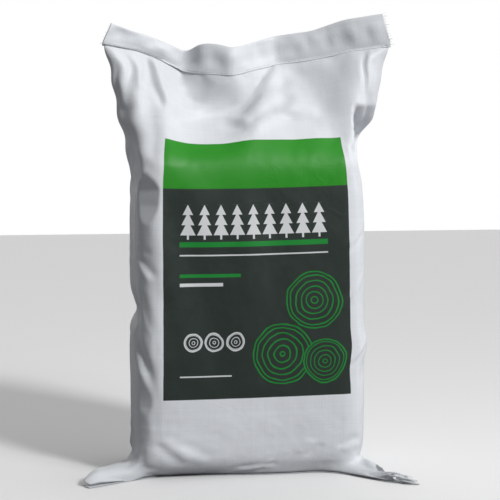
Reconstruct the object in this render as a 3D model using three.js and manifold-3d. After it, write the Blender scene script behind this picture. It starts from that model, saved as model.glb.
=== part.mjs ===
// A filled woven-plastic sack of kiln-dried split logs, standing upright on its base.
// Millimetres, +Z up, +X to the right of the printed front, which faces -Y.
// The origin is the middle of the whole footprint, ears and all, on the surface that it stands on.
//
// The sack is a flat tube of fabric, folded over and sewn shut across both ends. Filled, the tube
// becomes a box with rounded edges, and its four corners are left over as flat ears: two stand up
// at the ends of the top hem, and two lie on the ground at the ends of the bottom hem.
import * as THREE from "three";
import Module from "manifold-3d";
import { mergeVertices } from "three/addons/utils/BufferGeometryUtils.js";

const wasm = await Module();
wasm.setup();

// Driving dimensions
const WALL = 2.5; // fabric, drawn thicker than the real 0.2 mm
const FLOOR_THICKNESS = 7;
const SHOULDER_HEIGHT = 560;
const CORNER_RADIUS = 42; // of the sack's four upright edges
const CROWN = 0.05; // how much the middle of the front and back swells past their sides
const GAP = 0.4; // left between pieces that touch

// Ears on the ground
const EAR_ROOT = 0.3; // share of the half-width that is drawn out into the ear
const LEFT_TIP = [298, -124]; // how far to the side, and y
const RIGHT_TIP = [262, -188];

// Top hem: the mouth of the sack, folded over to the front
const MOUTH_HALF_WIDTH = 262;
const MOUTH_HALF_THICKNESS = 1.8;
const MOUTH_SLIT = 0.4;
const HEM_THICKNESS = 1.6;
const HEM_BELOW_STITCHES = 9;
const HEM_CLEARANCE = 0.6;
const HEM_NARROWING = 0.94; // the top edge is shorter than the stitched line: the ears lean in
const HEM_PULL = 2; // above 1, the hem's waves fade out sooner towards the shoulder

// Bottom hem: the other end of the tube, folded and sewn, lying under the sack
const BOTTOM_HEM_WIDTH = 22;
const BOTTOM_HEM_THICKNESS = 2.4;
const BOTTOM_HEM_STATIONS = 44;

const THREAD_RADIUS = 0.6;

// Split logs, standing on end
const LOG_TIERS = 2;
const LOG_COLUMNS = 4;
const LOG_ROWS = 2;
const LOG_BASE = 12;
const LOG_LENGTH = 280;
const TIER_HEIGHT = 282;
const PACK_WIDTH = 380;
const PACK_DEPTH = 168;
const LOG_CLEARANCE = 1.2;
const LOG_ARC_STEPS = 9;
const BARK_SWELL = 0.06;

// Fabric columns across the front, as shares of the half-width, from crease to crease. They lie
// closest where the hem buckles.
const COLUMNS = [
  -1, -0.97, -0.93, -0.87, -0.8, -0.72, -0.64, -0.57, -0.5, -0.43, -0.385, -0.335, -0.275, -0.215,
  -0.165, -0.115, -0.05, 0.02, 0.09, 0.16, 0.24, 0.32, 0.41, 0.5, 0.57, 0.64, 0.72, 0.8, 0.87,
  0.93, 0.97, 1,
];

// Levels up to the shoulder: height, half-width, half-depth, share of the way to the ears' tips
const BODY_LEVELS = [
  [0, 188, 76, 0.96],
  [5, 197, 85, 1],
  [12, 203, 91, 0.88],
  [20, 206, 94, 0.66],
  [30, 208, 96, 0.36],
  [45, 209, 97, 0.14],
  [70, 209, 98, 0.04],
  [120, 210, 98, 0],
  [200, 211, 98, 0],
  [286, 206, 96, 0],
  [370, 210, 98, 0],
  [470, 210, 98, 0],
];

// Levels above it: share of the way to the stitches, half-width, half-depth, how flattened
const SHOULDER_LEVELS = [
  [0, 207, 97, 0],
  [0.12, 213, 92, 0.1],
  [0.25, 223, 80, 0.25],
  [0.4, 234, 60, 0.45],
  [0.55, 243, 40, 0.65],
  [0.7, 250, 22, 0.8],
  [0.85, 257, 9, 0.93],
  [0.94, 260, 4, 1],
  [1, MOUTH_HALF_WIDTH, MOUTH_HALF_THICKNESS, 1],
];

// The top hem: share of the half-width, y, height of the stitches, height of the top edge
const TOP_HEM = [
  [-1, -30, 772, 814],
  [-0.76, -12, 764, 792],
  [-0.57, 8, 746, 776],
  [-0.43, 24, 730, 763],
  [-0.335, -14, 727, 777],
  [-0.215, -20, 724, 776],
  [-0.115, -30, 722, 767],
  [0.09, 4, 736, 783],
  [0.24, 20, 744, 793],
  [0.5, 2, 753, 802],
  [0.72, -18, 766, 822],
  [1, -38, 776, 832],
];

// The bottom hem, from the tip of the left ear to the tip of the right one: x, y
const BOTTOM_HEM = [
  [-294, -116],
  [-262, -99],
  [-225, -85],
  [-185, -73],
  [-140, -67],
  [0, -65],
  [120, -69],
  [155, -80],
  [190, -104],
  [224, -140],
  [256, -176],
];

const smooth = (t) => t * t * (3 - 2 * t);
const mix = (a, b, t) => a + (b - a) * t;

// The value in a column of a table at x, which the table's first column holds.
function along(table, x, column, ease = smooth) {
  const last = table.length - 1;
  let row = 0;
  while (row < last - 1 && x > table[row + 1][0]) row += 1;
  const [before, after] = [table[row], table[row + 1]];
  const share = THREE.MathUtils.clamp((x - before[0]) / (after[0] - before[0]), 0, 1);
  return mix(before[column], after[column], ease(share));
}

const hemY = (column) => along(TOP_HEM, column, 1);
const stitchHeight = (column) => along(TOP_HEM, column, 2);
const topHeight = (column) => along(TOP_HEM, column, 3);
const seamHeight = (column) => stitchHeight(column) - HEM_BELOW_STITCHES - 1;
const bottomHemY = (x) => along(BOTTOM_HEM, x, 1, (t) => t);

// x of a fabric column of the flattened mouth at a height: the mouth narrows towards its top edge.
function mouthX(column, height) {
  const low = seamHeight(column);
  const share = (height - low) / (topHeight(column) - low);
  return column * MOUTH_HALF_WIDTH * mix(1, HEM_NARROWING, share);
}

// Triangles over a ring, from its points in a plane.
const fillFlat = (plane) => (ring) => {
  const outline = ring.map((point) => new THREE.Vector2(...plane(point)));
  return THREE.ShapeUtils.triangulateShape(outline, []);
};

// Triangles over a ring whose two sides mirror each other, from side to side: the rim of the sack
// isn't level, so each piece of it joins the front and the back of the same fabric column.
function fillAcross(ring) {
  const count = ring.length;
  const triangles = [[0, 1, count - 1]];
  for (let i = 1; i < count / 2 - 1; i += 1) {
    triangles.push([i, i + 1, count - i - 1], [i, count - i - 1, count - i]);
  }
  triangles.push([count / 2 - 1, count / 2, count / 2 + 1]);
  return triangles;
}

// A closed mesh through rings of equal length, which turn anticlockwise seen from the last ring.
function loft(rings, fill) {
  const count = rings[0].length;
  const index = [];
  for (let j = 0; j < rings.length - 1; j += 1) {
    for (let i = 0; i < count; i += 1) {
      const [a, b] = [j * count + i, j * count + ((i + 1) % count)];
      index.push(a, b, b + count, a, b + count, a + count);
    }
  }
  const last = (rings.length - 1) * count;
  for (const [a, b, c] of fill(rings[0])) index.push(a, c, b);
  for (const [a, b, c] of fill(rings[rings.length - 1])) index.push(last + a, last + b, last + c);
  const geometry = new THREE.BufferGeometry();
  geometry.setAttribute("position", new THREE.Float32BufferAttribute(rings.flat(2), 3));
  geometry.setIndex(index);
  return geometry;
}

const fillFromAbove = fillFlat(([x, y]) => [x, y]);
const fillFromTheEnd = fillFlat(([, y, z]) => [y, z]);

function toSolid(geometry) {
  const merged = mergeVertices(geometry, 1e-4);
  return new wasm.Manifold(
    new wasm.Mesh({
      numProp: 3,
      vertProperties: merged.attributes.position.array,
      triVerts: new Uint32Array(merged.index.array),
    }),
  );
}

function toGeometry(solid) {
  const mesh = solid.getMesh();
  const geometry = new THREE.BufferGeometry();
  geometry.setAttribute("position", new THREE.BufferAttribute(mesh.vertProperties, 3));
  geometry.setIndex(new THREE.BufferAttribute(mesh.triVerts, 1));
  return geometry;
}

// A point in the back right quarter of a level: column is the share of the way from the middle to
// the crease. It follows the fabric round a box with rounded edges, or, flattened, a lens.
function quarterPoint(column, halfWidth, halfDepth, flattened) {
  const radius = Math.min(CORNER_RADIUS, halfDepth);
  const side = halfDepth - radius;
  const bend = (radius * Math.PI) / 2;
  const run = (1 - column) * (side + bend + halfWidth - radius);
  let [x, y] = [halfWidth, run];
  if (run > side + bend) {
    x = halfWidth - radius - (run - side - bend);
    y = halfDepth;
  } else if (run > side) {
    const turn = (run - side) / radius;
    x = halfWidth - radius + radius * Math.cos(turn);
    y = halfDepth - radius + radius * Math.sin(turn);
  }
  const lens = Math.min(1, 4 * (1 - column)) ** 0.7;
  const swell = 1 + CROWN * (1 - column ** 2) * (1 - flattened);
  return [mix(x, halfWidth * column, flattened), mix(y, halfDepth * lens, flattened) * swell];
}

// A whole level: along the back from the right crease to the left one, and back along the front.
// place turns a fabric column and its point in the level into a point of the sack.
function levelRing({ halfWidth, halfDepth, flattened = 0, ear = 0 }, place) {
  const point = (column, side) => {
    const [x, y] = quarterPoint(Math.abs(column), halfWidth, halfDepth, flattened);
    const [tipX, tipY] = column < 0 ? LEFT_TIP : RIGHT_TIP;
    const pull = Math.max(0, 1 - (1 - Math.abs(column)) / EAR_ROOT) ** 1.5;
    const reach = ear * pull * (tipX - halfWidth);
    const sweep = ear * pull ** 0.7 * tipY;
    return place(column, Math.sign(column) * (x + reach), side * y + sweep);
  };
  const back = COLUMNS.toReversed().map((column) => point(column, 1));
  const front = COLUMNS.slice(1, -1).map((column) => point(column, -1));
  return [...back, ...front];
}

// Rings of the sack from a height up to its open top edge. A hollow is inset and has no ears.
function sackRings({ floor, inset, slit, overshoot, hasEars }) {
  const rings = [];
  for (const [height, width, depth, share] of BODY_LEVELS) {
    if (height > 0 && height < floor) continue;
    const z = Math.max(height, floor);
    const [halfWidth, halfDepth] = [width - inset, depth - inset];
    const ear = hasEars ? share : 0;
    rings.push(levelRing({ halfWidth, halfDepth, ear }, (column, x, y) => [x, y, z]));
  }
  for (const [share, width, depth, flattened] of SHOULDER_LEVELS) {
    const [halfWidth, halfDepth] = [width - inset, Math.max(depth - inset, slit)];
    rings.push(
      levelRing({ halfWidth, halfDepth, flattened }, (column, x, y) => [
        x,
        y + hemY(column) * share ** HEM_PULL,
        mix(SHOULDER_HEIGHT, seamHeight(column), share),
      ]),
    );
  }
  const rim = { halfWidth: MOUTH_HALF_WIDTH - inset, halfDepth: slit, flattened: 1 };
  rings.push(
    levelRing(rim, (column, x, y) => {
      const z = topHeight(column) + overshoot;
      return [mouthX(x / MOUTH_HALF_WIDTH, z), y + hemY(column), z];
    }),
  );
  return rings;
}

// The filled sack: a hollow fabric shell, whose mouth is a slit between two layers at the top edge.
function sackBody() {
  const outside = {
    floor: 0,
    inset: 0,
    slit: MOUTH_HALF_THICKNESS,
    overshoot: 0,
    hasEars: true,
  };
  const inside = {
    floor: FLOOR_THICKNESS,
    inset: WALL,
    slit: MOUTH_SLIT,
    overshoot: 2,
    hasEars: false,
  };
  const [fabric, hollow] = [outside, inside].map((shape) =>
    toSolid(loft(sackRings(shape), fillAcross)),
  );
  const groove = toSolid(bottomHemStrip(GAP, BOTTOM_HEM_THICKNESS + 2 * THREAD_RADIUS + 2 * GAP));
  return toGeometry(fabric.subtract(hollow).subtract(groove));
}

// The folded-over mouth: it starts at the top edge and hangs down in front, past the stitches.
function topHem() {
  const rings = COLUMNS.slice(1, -1).map((column) => {
    const y = hemY(column);
    const back = y + MOUTH_HALF_THICKNESS;
    const inside = y - MOUTH_HALF_THICKNESS - HEM_CLEARANCE;
    const outside = inside - HEM_THICKNESS;
    const under = topHeight(column) + GAP;
    const over = under + HEM_THICKNESS;
    const low = stitchHeight(column) - HEM_BELOW_STITCHES;
    const [topX, lowX] = [mouthX(column, under), mouthX(column, low)];
    return [
      [topX, back, over],
      [topX, outside + HEM_THICKNESS / 2, over],
      [topX, outside, under],
      [lowX, outside, low],
      [lowX, inside, low],
      [topX, inside, under],
      [topX, back, under],
    ];
  });
  return loft(rings, fillFromTheEnd);
}

// A flat strip from ear tip to ear tip under the sack, grown by margin all round.
function bottomHemStrip(margin, height) {
  const [left, right] = [BOTTOM_HEM[0][0], BOTTOM_HEM[BOTTOM_HEM.length - 1][0]];
  const low = margin > 0 ? -1 : 0;
  const rings = [];
  for (let i = 0; i <= BOTTOM_HEM_STATIONS; i += 1) {
    const x = mix(left, right, i / BOTTOM_HEM_STATIONS);
    const y = bottomHemY(x);
    const slope = (bottomHemY(x + 1) - bottomHemY(x - 1)) / 2;
    const half = (BOTTOM_HEM_WIDTH / 2 + margin) * Math.hypot(1, slope);
    const end = { 0: -margin, [BOTTOM_HEM_STATIONS]: margin }[i] ?? 0;
    rings.push([
      [x + end, y - half, low],
      [x + end, y + half, low],
      [x + end, y + half, height],
      [x + end, y - half, height],
    ]);
  }
  return loft(rings, fillFromTheEnd);
}

// A thread along a run of points, with a diamond section.
function thread(points) {
  const r = THREAD_RADIUS;
  const rings = points.map(([x, y, z]) => [
    [x, y - r, z],
    [x, y, z - r],
    [x, y + r, z],
    [x, y, z + r],
  ]);
  return loft(rings, fillFromTheEnd);
}

function topStitching() {
  const proud = MOUTH_HALF_THICKNESS + HEM_CLEARANCE + HEM_THICKNESS + 2 * GAP + THREAD_RADIUS;
  return thread(
    COLUMNS.slice(1, -1).map((column) => {
      const z = stitchHeight(column);
      return [mouthX(column, z), hemY(column) - proud, z];
    }),
  );
}

function bottomStitching() {
  const z = BOTTOM_HEM_THICKNESS + GAP + THREAD_RADIUS;
  return thread(BOTTOM_HEM.map(([x, y]) => [x, y, z]));
}

// The outline of a split log in a unit square: a half round on its flat, or a quarter round with
// its split faces on the axes. The bark side swells a little, by a phase that differs between logs.
function logOutline(isHalf, phase) {
  const points = isHalf ? [] : [[0, 0]];
  for (let i = 0; i <= LOG_ARC_STEPS; i += 1) {
    const share = i / LOG_ARC_STEPS;
    const turn = share * (isHalf ? Math.PI : Math.PI / 2);
    const bark = 1 - (BARK_SWELL * (1 + Math.sin(9 * share + phase))) / 2;
    const [u, v] = [bark * Math.cos(turn), bark * Math.sin(turn)];
    points.push(isHalf ? [(1 + u) / 2, v] : [u, v]);
  }
  return points;
}

// One split log, standing on its end in a cell of the pack, with its heart towards the middle.
function splitLog(column, row, tier) {
  const [wide, deep] = [PACK_WIDTH / LOG_COLUMNS, PACK_DEPTH / LOG_ROWS];
  const [left, front] = [column * wide - PACK_WIDTH / 2, row * deep - PACK_DEPTH / 2];
  const isOuter = column === 0 || column === LOG_COLUMNS - 1;
  const isHalf = !isOuter && (column + row + tier) % 2 === 0;
  const flipX = column < LOG_COLUMNS / 2;
  const flipY = row < LOG_ROWS / 2;
  const outline = logOutline(isHalf, column + 2.3 * row + 1.7 * tier);
  const base = LOG_BASE + tier * TIER_HEIGHT;
  const ring = (height, shrink) => {
    const points = outline.map(([u, v]) => {
      const across = mix(flipX ? 1 - u : u, 0.5, shrink);
      const deeper = mix(flipY ? 1 - v : v, 0.5, shrink);
      return [
        mix(left + LOG_CLEARANCE, left + wide - LOG_CLEARANCE, across),
        mix(front + LOG_CLEARANCE, front + deep - LOG_CLEARANCE, deeper),
        base + height,
      ];
    });
    return flipX === flipY ? points : points.reverse();
  };
  const waist = 0.02 + 0.02 * ((column + 2 * row + tier) % 3);
  const rings = [ring(0, 0.04), ring(LOG_LENGTH * 0.3, waist)];
  rings.push(ring(LOG_LENGTH * 0.7, 0), ring(LOG_LENGTH, 0.03));
  return loft(rings, fillFromAbove);
}

const finish = (color, roughness) =>
  new THREE.MeshStandardMaterial({ color, roughness, metalness: 0 });
const fabric = finish(0xdfe3ea, 0.45);
const sewingThread = finish(0xc9cdd3, 0.8);
const splitWood = finish(0xc79a63, 0.85);

const object = new THREE.Group();

function add(name, geometry, material) {
  const mesh = new THREE.Mesh(geometry, material);
  mesh.name = name;
  object.add(mesh);
}

add("sack_body", sackBody(), fabric);
add("top_hem", topHem(), fabric);
add("top_stitching", topStitching(), sewingThread);
add("bottom_hem", bottomHemStrip(0, BOTTOM_HEM_THICKNESS), fabric);
add("bottom_stitching", bottomStitching(), sewingThread);
for (let tier = 0; tier < LOG_TIERS; tier += 1) {
  for (let row = 0; row < LOG_ROWS; row += 1) {
    for (let column = 0; column < LOG_COLUMNS; column += 1) {
      const number = (tier * LOG_ROWS + row) * LOG_COLUMNS + column + 1;
      const name = `log_${String(number).padStart(2, "0")}`;
      add(name, splitLog(column, row, tier), splitWood);
    }
  }
}

const middle = new THREE.Box3().setFromObject(object).getCenter(new THREE.Vector3());
object.position.set(-middle.x, -middle.y, 0);

export default object;
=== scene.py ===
"""Looks of a filled, closed sack of firewood logs, in metres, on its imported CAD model.

The sack is cloth: a tube of woven fabric, already wrapped round its pack of logs, is simulated with
its flat sizes as the lengths that it keeps. Its mouth is folded over and sewn, and so is its bottom,
whose ends lie on the floor as two ears.
"""
import math

import bmesh
import bpy
import numpy as np
from mathutils import Matrix, Vector, noise


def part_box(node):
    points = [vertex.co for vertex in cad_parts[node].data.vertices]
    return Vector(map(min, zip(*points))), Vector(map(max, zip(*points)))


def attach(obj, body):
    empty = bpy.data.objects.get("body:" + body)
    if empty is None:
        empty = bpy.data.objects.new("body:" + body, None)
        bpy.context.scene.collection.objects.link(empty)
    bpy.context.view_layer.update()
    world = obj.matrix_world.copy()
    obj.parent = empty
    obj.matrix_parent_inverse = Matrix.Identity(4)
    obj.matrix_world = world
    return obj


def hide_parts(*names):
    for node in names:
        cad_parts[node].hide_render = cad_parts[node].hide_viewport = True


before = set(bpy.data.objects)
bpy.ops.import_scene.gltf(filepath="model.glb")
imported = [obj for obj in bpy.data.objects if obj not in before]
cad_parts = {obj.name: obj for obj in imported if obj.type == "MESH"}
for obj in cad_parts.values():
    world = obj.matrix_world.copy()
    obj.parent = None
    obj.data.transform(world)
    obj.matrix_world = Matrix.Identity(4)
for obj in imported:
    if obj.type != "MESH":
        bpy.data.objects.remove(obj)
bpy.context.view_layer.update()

LOGS = sorted(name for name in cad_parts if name.startswith("log_"))
LOG_BOXES = [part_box(name) for name in LOGS]
LOGS_LOW = np.min([box[0] for box in LOG_BOXES], axis=0)
LOGS_HIGH = np.max([box[1] for box in LOG_BOXES], axis=0)
LOGS_HALF = (LOGS_HIGH - LOGS_LOW) / 2
# Everything is made round the middle of the body, and moved there at the end
BODY = Vector(((LOGS_LOW[0] + LOGS_HIGH[0]) / 2, (LOGS_LOW[1] + LOGS_HIGH[1]) / 2, 0))

# The pack of logs as the fabric feels it: a box with rounded edges, in two tiers
SIDE_ROOM = 0.013
FACE_ROOM = 0.014
END_ROOM = 0.016
PACK_BASE = 0.008
PACK_HALF = LOGS_HALF + np.array([SIDE_ROOM, FACE_ROOM, 0])
PACK_HALF[2] = (LOGS_HIGH[2] + END_ROOM - PACK_BASE) / 2
PACK_MIDDLE = np.array([0, 0, PACK_BASE + PACK_HALF[2]])
PACK_TOP = PACK_BASE + 2 * PACK_HALF[2]
PACK_CUTS = 23
FRONT_ROUNDING = 0.034
BACK_ROUNDING = 0.036
CORNER_STEPS = 12
TIER_PINCH = 0.025
PINCH_SPREAD = 0.1
SHOULDER_TAPER = 0.03
LUMPS = 0.004
LUMPS_PER_METRE = 9
LOG_EDGE = 0.008
LOG_GAP = 0.003
PACK_GROWTH = ((1, 0.985), (10, 1))  # frame, and its share of the whole width
PACK_CONTACT = (0.003, 3)  # thickness, friction
FLOOR_CONTACT = (0.002, 5)
CLOTH_FLOOR = -0.004

# The tube of fabric, counted round from the middle of the left side by way of the front
COLUMNS = 140
CAP_ROWS = 20
TUBE_ROWS = 80
CAP_HEIGHT = 0.11
CAP_LENGTH = 0.17
TUBE_LENGTH = 0.670
HALF = COLUMNS // 2
ROWS = CAP_ROWS + TUBE_ROWS
FLAT_WIDTH = 0.59
FABRIC_GAP = 0.004
FLOOR_GAP = 0.0004
START_GAP = 0.006
LEAST_START = 0.001  # height over the floor
EVENING_PASSES = 6
UNEVENNESS = 0.0015
MOUTH_ROWS = 16
LAYER_GAP = 0.0015

# The stitched line of the mouth and its top edge: x, y from the body's middle, height, top height
TOP_HEM = [
    (-0.262, -0.030, 0.774, 0.809),
    (-0.199, -0.012, 0.764, 0.792),
    (-0.149, 0.008, 0.746, 0.776),
    (-0.113, 0.017, 0.730, 0.763),
    (-0.088, -0.011, 0.727, 0.777),
    (-0.056, -0.018, 0.724, 0.776),
    (-0.030, -0.030, 0.722, 0.767),
    (0.024, 0.004, 0.736, 0.783),
    (0.063, 0.020, 0.744, 0.793),
    (0.131, 0.002, 0.753, 0.802),
    (0.189, -0.018, 0.766, 0.822),
    (0.262, -0.038, 0.776, 0.832),
]
HEM_NARROWING = 0.94
HEM_STATIONS = 230
FLAP_BELOW = 0.0045
LIFT = 0.0035  # of the flap's lower edge off the sack, at its buckle
LIFT_AT = 0.27  # shares of the hem's length
LIFT_SPREAD = 0.035
LOOSENESS = 0.0005
LEFT_TUCK = 0.012
RIGHT_TUCK = 0.050
TUCK_HEIGHT = 0.35  # share of the way from the pack's top to the stitches
TUCK_START = 0.7  # share of the way out from the middle
TUCK_WIDTH = 0.3
SHOULDER = 0.9  # share of the rounding at which the fabric leaves the pack
BELLY = 0.016  # of the front above the shoulder
BELLY_RISE = 0.004

# The folded mouth's waves: depth, how close they are along and up, and where in the noise
HEM_WAVES = [(0.0060, 8, 18, 9.1), (0.0030, 23, 42, 2.2)]
HEM_WAVING = 1.4

# The folded mouth's section above its stitches, first the front and then the back: share of its
# height, how much higher, and how far off its middle
HEM_SECTION = [
    (0, 0.008, 0.0020),
    (0.3, 0, 0.0022),
    (0.45, 0, 0.0022),
    (0.6, 0, 0.0022),
    (0.75, 0, 0.0021),
    (0.88, 0, 0.0019),
    (1, -0.0012, 0.0014),
    (1, 0, 0.0003),
    (1, -0.0010, -0.0010),
    (0.88, 0, -0.0016),
    (0.75, 0, -0.0018),
    (0.6, 0, -0.0018),
    (0.45, 0, -0.0018),
    (0.3, 0, -0.0018),
    (0, 0.008, -0.0016),
    (0, 0.003, -0.0013),
]

# The sewn line of the bottom, from ear tip to ear tip: x, y from the body's middle
BOTTOM_HEM = [
    (-0.296, -0.138),
    (-0.262, -0.120),
    (-0.225, -0.099),
    (-0.190, -0.080),
    (-0.150, -0.067),
    (-0.110, -0.068),
    (-0.050, -0.079),
    (0.030, -0.088),
    (0.080, -0.088),
    (0.120, -0.084),
    (0.156, -0.100),
    (0.188, -0.136),
    (0.220, -0.172),
    (0.250, -0.192),
]
BOTTOM_SEAM_HEIGHT = 0.0022
BOTTOM_HEM_WIDTH = 0.022
BOTTOM_HEM_THICKNESS = 0.0016
FRONT_TOE = (0.99, 0.006, 0.020)  # share of x, more in y, height
BACK_TOE = (0.98, 0.004 - BACK_ROUNDING, 0.004)
CAP_KNEE = 0.050
EAR_SHARE = 0.66  # how far out from the middle, as a share, the bottom seam runs into its ears
EAR_ROOT = np.array([1.01, 0.95, 0])  # shares of the first full ring
EAR_STEPS = (0, 0.35, 0.7, 0.9)
LEFT_EAR = (0.040, 0.035, 0.031, 0.026)  # heights of the ear's crest from its root to its tip
RIGHT_EAR = (0.016, 0.014, 0.013, 0.011)

# Rows of stitches: pitch, stitch length, thread radius, rise
STITCH_PITCH = 0.0085
DASHES = (STITCH_PITCH, 0.0062, 0.0006, 0.0006)
LOOPS = (STITCH_PITCH, 0.0096, 0.0006, 0.0)

# Frayed ends: pitch, tape length, tape width, spread of their directions
TOP_LEFT_FRAY = (0.006, 0.006, 0.001, 0.5)
TOP_RIGHT_FRAY = (0.005, 0.007, 0.001, 0.5)
BOTTOM_LEFT_FRAY = (0.004, 0.003, 0.002, 0.2)
BOTTOM_RIGHT_FRAY = (0.0022, 0.022, 0.0030, 0.25)
TORN_FRAY = (0.0018, 0.036, 0.0034, 0.20)
FRAY_FRONT = -0.203  # no tape goes further to the front

# Where the fabric is calmer than it settles: from and to in u, from and to in v, how much, passes.
# u runs round the flat tube from the middle of the left side, v from the bottom seam to the top one.
CALM = [
    ((0.115, 0.485), (0.150, 0.715), 0.8, 14),
    ((0.030, 0.540), (0.640, 0.825), 0.6, 7),
    ((0.400, 0.560), (0.660, 0.830), 0.8, 14),
    ((0.100, 0.500), (0.025, 0.150), 0.7, 12),
]

# Folds of handling on the flat fabric: u, v of the start, u, v of the end, half width, height
FOLDS = [
    (0.138, 0.730, 0.274, 0.775, 0.013, 0.0036),
    (0.255, 0.768, 0.400, 0.812, 0.013, 0.0030),
    (0.250, 0.745, 0.300, 0.705, 0.010, 0.0026),
    (0.290, 0.700, 0.400, 0.755, 0.011, -0.0036),
    (0.340, 0.735, 0.440, 0.715, 0.012, 0.0026),
    (0.080, 0.835, 0.135, 0.735, 0.009, 0.0050),
    (0.050, 0.840, 0.085, 0.760, 0.007, -0.0035),
    (0.549, 0.838, 0.545, 0.745, 0.004, 0.0024),
    (0.110, 0.225, 0.015, 0.405, 0.008, 0.0045),
    (0.120, 0.560, 0.070, 0.620, 0.006, -0.0025),
    (0.115, 0.420, 0.060, 0.470, 0.006, 0.0025),
    (0.470, 0.465, 0.505, 0.500, 0.004, 0.0014),
    (0.470, 0.375, 0.502, 0.425, 0.004, -0.0014),
    (0.468, 0.255, 0.510, 0.295, 0.004, 0.0014),
    (0.120, 0.120, 0.175, 0.060, 0.010, 0.0018),
    (0.160, 0.110, 0.215, 0.065, 0.010, -0.0012),
    (0.262, 0.026, 0.340, 0.036, 0.007, -0.0016),
    (0.300, 0.020, 0.335, 0.046, 0.007, 0.0012),
    (0.380, 0.060, 0.410, 0.100, 0.010, 0.0014),
    (0.450, 0.075, 0.498, 0.112, 0.008, -0.0018),
    (0.700, 0.160, 0.850, 0.110, 0.008, 0.0025),
    (0.950, 0.100, 1.080, 0.170, 0.008, -0.0025),
    (0.760, 0.720, 0.880, 0.660, 0.009, 0.0035),
    (0.930, 0.650, 1.050, 0.740, 0.009, -0.0035),
    (0.640, 0.480, 0.700, 0.430, 0.006, 0.0022),
    (1.130, 0.300, 1.060, 0.360, 0.006, -0.0022),
    # on the back, where the logs and their two tiers show through
    (0.790, 0.120, 0.775, 0.350, 0.020, 0.0030),
    (0.900, 0.110, 0.905, 0.350, 0.018, -0.0028),
    (1.010, 0.140, 0.995, 0.360, 0.020, 0.0028),
    (0.800, 0.400, 0.815, 0.630, 0.020, -0.0030),
    (0.925, 0.395, 0.910, 0.620, 0.018, 0.0030),
    (1.025, 0.400, 1.030, 0.620, 0.018, -0.0026),
    (0.715, 0.366, 0.965, 0.382, 0.015, 0.0016),
    (0.860, 0.386, 1.085, 0.370, 0.015, 0.0015),
    (0.830, 0.250, 0.880, 0.190, 0.007, 0.0020),
    (0.960, 0.560, 1.010, 0.500, 0.007, -0.0020),
]

# The tube's old fold from lying flat, a sharp line down each side: middle in u, low and high in v
FLAT_EDGES = [(0.050, 0.27, 0.63), (FLAT_WIDTH + 0.030, 0.24, 0.54)]
FLAT_EDGE_SWAY = [(26.0, 1.0, 0.007), (61.0, 0.0, 0.003)]  # waves per metre of v, start, reach
FLAT_EDGE_RISE = 0.0016
FLAT_EDGE_WIDTH = 0.004
BROAD_CRUMPLE = 0.0009
FINE_CRUMPLE = 0.0005
RIGHT_EAR_PLEATS = 0.0022
PLEAT_PITCH = 0.024

# The sides' outline as seen from the front: side, height, spread, how much further out, and the
# stretch of y that this takes in
SIDE_WAVES = [
    (-1, 0.295, 0.026, -0.012, -0.085, 0.5),
    (-1, 0.612, 0.030, -0.012, -0.5, 0.5),
    (-1, 0.560, 0.026, -0.005, -0.5, 0.5),
    (-1, 0.672, 0.028, -0.010, -0.5, 0.5),
    (-1, 0.732, 0.024, -0.010, -0.5, 0.5),
    (1, 0.010, 0.060, -0.004, -0.5, 0.5),
    (1, 0.190, 0.024, -0.003, -0.5, -0.03),
    (1, 0.235, 0.022, 0.004, -0.5, -0.03),
    (1, 0.585, 0.060, -0.0105, -0.5, 0.5),
    (1, 0.640, 0.018, 0.007, -0.5, 0.5),
    (1, 0.694, 0.022, -0.004, -0.5, 0.5),
    (1, 0.738, 0.026, -0.008, -0.5, 0.5),
]

# The hollow under the right top ear: its lip and low edge in z, its side in x, how far it goes back
LIP_HEIGHT = 0.666
HOLLOW_LOW = 0.565
HOLLOW_SIDE = 0.186
UNDER_LIP = 0.092

# The bottom ears are fuller or flatter than they settle: x, spread, how much higher
EAR_FULLNESS = [
    (-0.286, 0.020, 0.006),
    (-0.222, 0.024, -0.009),
    (0.228, 0.030, 0.006),
]
LEFT_EAR_ROOT = -0.200
LEFT_EAR_STRETCH = 0.27

# The dents of the left front edge: height, and how far from the corner one reaches along the front
DENTS = [
    (0.060, 0.004),
    (0.100, 0.028),
    (0.132, 0.032),
    (0.163, 0.026),
    (0.216, 0.010),
    (0.243, 0.016),
    (0.284, 0.015),
    (0.333, 0.008),
    (0.370, 0.010),
    (0.407, 0.023),
    (0.441, 0.013),
    (0.490, 0.029),
    (0.518, 0.032),
    (0.562, 0.010),
    (0.600, 0.002),
]
DENT_UNEVENNESS = 0.003
EDGE_FORWARD = 0.014
CORNER_REACH = 0.2265  # of the left front corner, before it is dented, out along its diagonal

# The printed panel on the front: middle of the front in u, low and high edges in v
PANEL_MIDDLE = FLAT_WIDTH / 2 + 0.006
PANEL_WIDTH = 0.341
PANEL_LOW = 0.206
PANEL_HEIGHT = 0.467
PANEL_HIGH = PANEL_LOW + PANEL_HEIGHT
PANEL_MARGIN = 0.030
BAND_HEIGHT = 0.092
PRINT_SAG = 0.0015

WHITE = (0.80, 0.825, 0.86, 1)
# painted highlight along the tube's old flat folds
FOLD_HIGHLIGHT = (0.90, 0.92, 0.95, 1)
# painted shade: the colour multiplied into the fabric near the floor
LOW_SHADE = (0.66, 0.67, 0.67, 1)
GREEN = (0.018, 0.280, 0.009, 1)
DARK = (0.022, 0.033, 0.027, 1)
LINE_GREEN = (0.006, 0.255, 0.032, 1)
PRINT_WHITE = (0.72, 0.74, 0.75, 1)
THREAD_DARK, THREAD_PALE = (0.60, 0.62, 0.65, 1), (0.84, 0.85, 0.87, 1)
WOOD_GRAIN, WOOD_BROWN, WOOD_PALE = (0.30, 0.17, 0.08, 1), (0.50, 0.31, 0.15, 1), (0.66, 0.47, 0.28, 1)

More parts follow.
